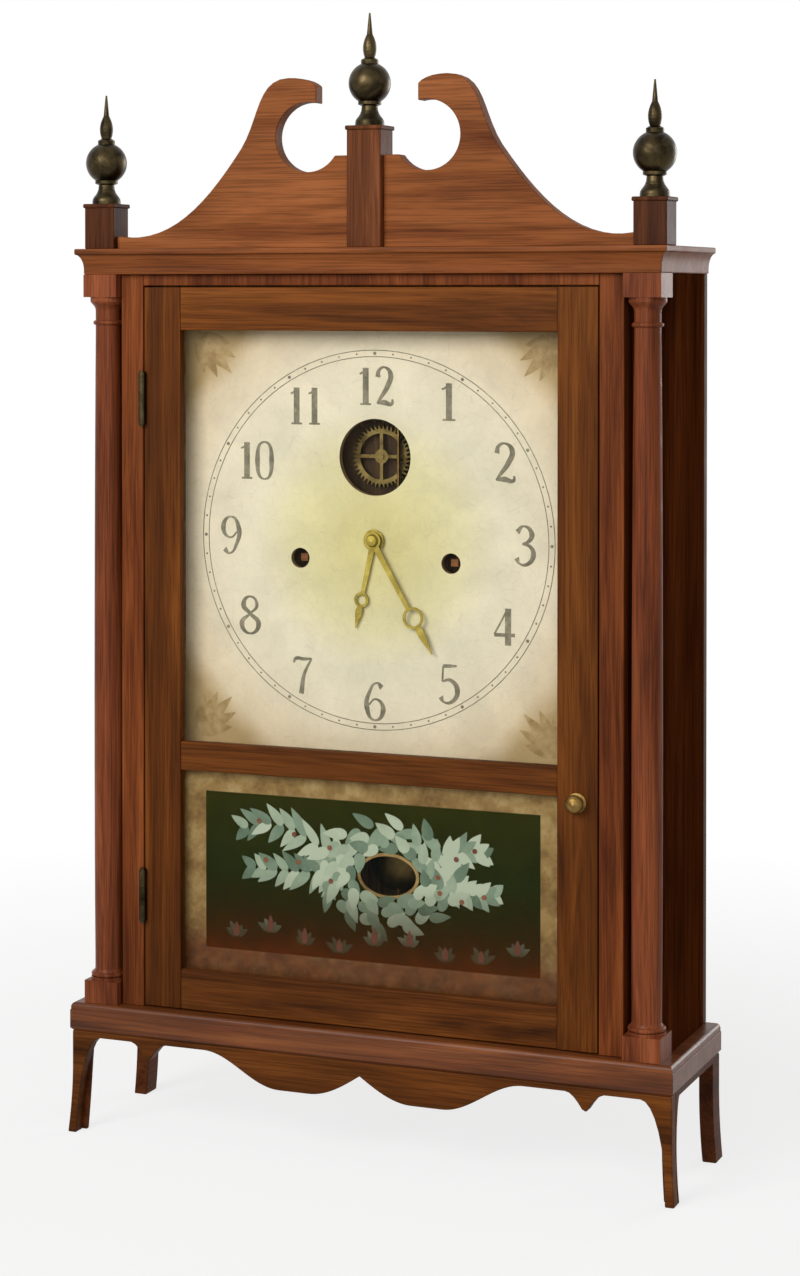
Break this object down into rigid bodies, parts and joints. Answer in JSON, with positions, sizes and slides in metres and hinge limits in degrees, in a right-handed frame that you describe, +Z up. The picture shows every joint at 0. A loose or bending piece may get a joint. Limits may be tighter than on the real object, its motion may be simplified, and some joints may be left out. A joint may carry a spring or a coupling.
{
  "type": "shelf clock",
  "caption": "Weight-driven shelf clock in a mahogany case with columns, a scrolled pediment and finials, a hinged door with glass over a painted tablet, and wooden works.",
  "frame": {"origin": "on the floor, under the middle of the clock", "axes": "+Z up, -Y out of the front, +X to the right seen from the front"},
  "size_m": [0.446, 0.119, 0.786],
  "materials": {
    "mahogany": "satin",
    "dark_mahogany": "polished",
    "pale_wood": "matte",
    "painted_dial": "painted",
    "brass": "polished",
    "iron": "matte",
    "clear_glass": "polished",
    "painted_glass": "polished",
    "cord": "matte"
  },
  "bodies": {
    "case": {"base_moulding": "mahogany", "front_skirt": "mahogany", "side_skirts": "mahogany", "case_sides": "mahogany", "top_board": "pale_wood", "backboard": "pale_wood", "front_stiles": "mahogany", "head_rail": "mahogany", "cornice": "mahogany", "scroll_pediment": "mahogany", "centre_plinth": "dark_mahogany", "side_plinths": "dark_mahogany", "left_finial": "brass", "centre_finial": "brass", "right_finial": "brass", "left_column": "dark_mahogany", "right_column": "dark_mahogany", "case_rails": "pale_wood", "hinge_case_leaves": "brass", "dial_panel": "painted_dial", "front_plate": "pale_wood", "back_plate": "pale_wood", "plate_pillars": "pale_wood", "escapement_studs": "brass", "bell": "brass", "pulley_hangers": "iron", "weight_cords": "cord", "time_cord_drop": "cord", "strike_cord_drop": "cord"},
    "door": {"door_left_stile": "mahogany", "door_right_stile": "mahogany", "door_top_rail": "mahogany", "door_mid_rail": "mahogany", "door_bottom_rail": "mahogany", "dial_glass": "clear_glass", "tablet_glass": "painted_glass", "hinge_door_leaves": "brass"},
    "latch": {"door_latch": "brass"},
    "minute_arbor": {"centre_arbor": "pale_wood", "minute_hand": "brass"},
    "hour_pipe": {"hour_wheel": "pale_wood", "hour_hand": "brass"},
    "minute_wheel": {"minute_wheel": "pale_wood"},
    "time_great_wheel": {"time_great_wheel": "pale_wood"},
    "third_wheel": {"third_wheel": "pale_wood"},
    "escape_wheel": {"escape_wheel": "brass"},
    "anchor": {"verge": "brass"},
    "pendulum": {"pendulum_rod": "brass", "pendulum_bob": "brass"},
    "strike_great_wheel": {"strike_great_wheel": "pale_wood"},
    "pin_wheel": {"pin_wheel": "pale_wood"},
    "warning_wheel": {"warning_wheel": "pale_wood"},
    "fly": {"fly": "pale_wood"},
    "hammer": {"hammer": "iron"},
    "time_weight": {"time_weight": "iron"},
    "time_drum": {"time_drum": "pale_wood"},
    "time_pulley": {"time_pulley": "pale_wood"},
    "strike_weight": {"strike_weight": "iron"},
    "strike_drum": {"strike_drum": "pale_wood"},
    "strike_pulley": {"strike_pulley": "pale_wood"}
  },
  "joints": [
    {"name": "door_swing", "type": "hinge", "parent": "case", "child": "door", "pos_m": [-0.1675, -0.0513, 0.346], "axis": [0, 0, -1], "range_deg": [0, 100]},
    {"name": "latch_turn", "type": "hinge", "parent": "door", "child": "latch", "pos_m": [0.153, -0.0475, 0.258], "axis": [0, -1, 0], "range_deg": [0, 90]},
    {"name": "minute_hand_turn", "type": "hinge", "parent": "case", "child": "minute_arbor", "pos_m": [0, -0.0115, 0.425], "axis": [0, 1, 0], "continuous": true},
    {"name": "hour_hand_turn", "type": "hinge", "parent": "case", "child": "hour_pipe", "pos_m": [0, -0.0195, 0.425], "axis": [0, 1, 0], "continuous": true},
    {"name": "minute_wheel_turn", "type": "hinge", "parent": "case", "child": "minute_wheel", "pos_m": [-0.018, -0.0155, 0.425], "axis": [0, 1, 0], "continuous": true},
    {"name": "time_great_wheel_turn", "type": "hinge", "parent": "case", "child": "time_great_wheel", "pos_m": [0.056, -0.0015, 0.41089], "axis": [0, 1, 0], "continuous": true},
    {"name": "third_wheel_turn", "type": "hinge", "parent": "case", "child": "third_wheel", "pos_m": [0.02065, 0.0045, 0.45449], "axis": [0, 1, 0], "continuous": true},
    {"name": "escape_wheel_turn", "type": "hinge", "parent": "case", "child": "escape_wheel", "pos_m": [0, -0.0155, 0.482], "axis": [0, 1, 0], "continuous": true},
    {"name": "pendulum_swing", "type": "hinge", "parent": "case", "child": "pendulum", "pos_m": [0.014, -0.02, 0.51384], "axis": [0, 1, 0], "range_deg": [-3, 3]},
    {"name": "anchor_rock", "type": "hinge", "parent": "case", "child": "anchor", "pos_m": [0.014, -0.0155, 0.50384], "axis": [0, 1, 0], "range_deg": [-3.8, 3.8]},
    {"name": "strike_great_wheel_turn", "type": "hinge", "parent": "case", "child": "strike_great_wheel", "pos_m": [-0.056, 0.0125, 0.41089], "axis": [0, 1, 0], "continuous": true},
    {"name": "pin_wheel_turn", "type": "hinge", "parent": "case", "child": "pin_wheel", "pos_m": [-0.06103, 0.0045, 0.46842], "axis": [0, 1, 0], "continuous": true},
    {"name": "warning_wheel_turn", "type": "hinge", "parent": "case", "child": "warning_wheel", "pos_m": [-0.03789, 0.0045, 0.496], "axis": [0, 1, 0], "continuous": true},
    {"name": "fly_turn", "type": "hinge", "parent": "case", "child": "fly", "pos_m": [-0.01684, 0.0045, 0.50366], "axis": [0, 1, 0], "continuous": true},
    {"name": "hammer_lift", "type": "hinge", "parent": "case", "child": "hammer", "pos_m": [-0.07506, 0.0045, 0.50695], "axis": [0, -1, 0], "range_deg": [0, 15], "stiffness_Nm_per_rad": 0.004, "springref_deg": -28.65},
    {"name": "time_weight_fall", "type": "slide", "parent": "case", "child": "time_weight", "axis": [0, 0, 1], "range_m": [-0.315, 0], "deforming": ["time_cord_drop"]},
    {"name": "time_drum_turn", "type": "hinge", "parent": "case", "child": "time_drum", "pos_m": [0.056, 0.0069, 0.41089], "axis": [0, 1, 0], "range_deg": [-1294.2, 5]},
    {"name": "time_pulley_turn", "type": "hinge", "parent": "case", "child": "time_pulley", "pos_m": [0.13758, 0.0069, 0.579], "axis": [0, -1, 0], "range_deg": [-1362, 5]},
    {"name": "strike_weight_fall", "type": "slide", "parent": "case", "child": "strike_weight", "axis": [0, 0, 1], "range_m": [-0.315, 0], "deforming": ["strike_cord_drop"]},
    {"name": "strike_drum_turn", "type": "hinge", "parent": "case", "child": "strike_drum", "pos_m": [-0.056, 0.0001, 0.41089], "axis": [0, -1, 0], "range_deg": [-1294.2, 5]},
    {"name": "strike_pulley_turn", "type": "hinge", "parent": "case", "child": "strike_pulley", "pos_m": [-0.13758, 0.0001, 0.579], "axis": [0, 1, 0], "range_deg": [-1362, 5]}
  ],
  "couplings": [
    {"joint": "hour_hand_turn", "follows": "minute_hand_turn", "ratio": 0.083333},
    {"joint": "minute_wheel_turn", "follows": "minute_hand_turn", "ratio": -0.33333},
    {"joint": "time_great_wheel_turn", "follows": "minute_hand_turn", "ratio": -0.16667},
    {"joint": "third_wheel_turn", "follows": "minute_hand_turn", "ratio": -8},
    {"joint": "escape_wheel_turn", "follows": "minute_hand_turn", "ratio": 78},
    {"joint": "anchor_rock", "follows": "pendulum_swing", "ratio": 1.2112},
    {"joint": "pin_wheel_turn", "follows": "strike_great_wheel_turn", "ratio": -6},
    {"joint": "warning_wheel_turn", "follows": "strike_great_wheel_turn", "ratio": 48},
    {"joint": "fly_turn", "follows": "strike_great_wheel_turn", "ratio": -288},
    {"joint": "time_drum_turn", "follows": "time_weight_fall", "rad_per_m": 71.429},
    {"joint": "time_pulley_turn", "follows": "time_weight_fall", "rad_per_m": 75.188},
    {"joint": "strike_drum_turn", "follows": "strike_weight_fall", "rad_per_m": 71.429},
    {"joint": "strike_pulley_turn", "follows": "strike_weight_fall", "rad_per_m": 75.188}
  ]
}
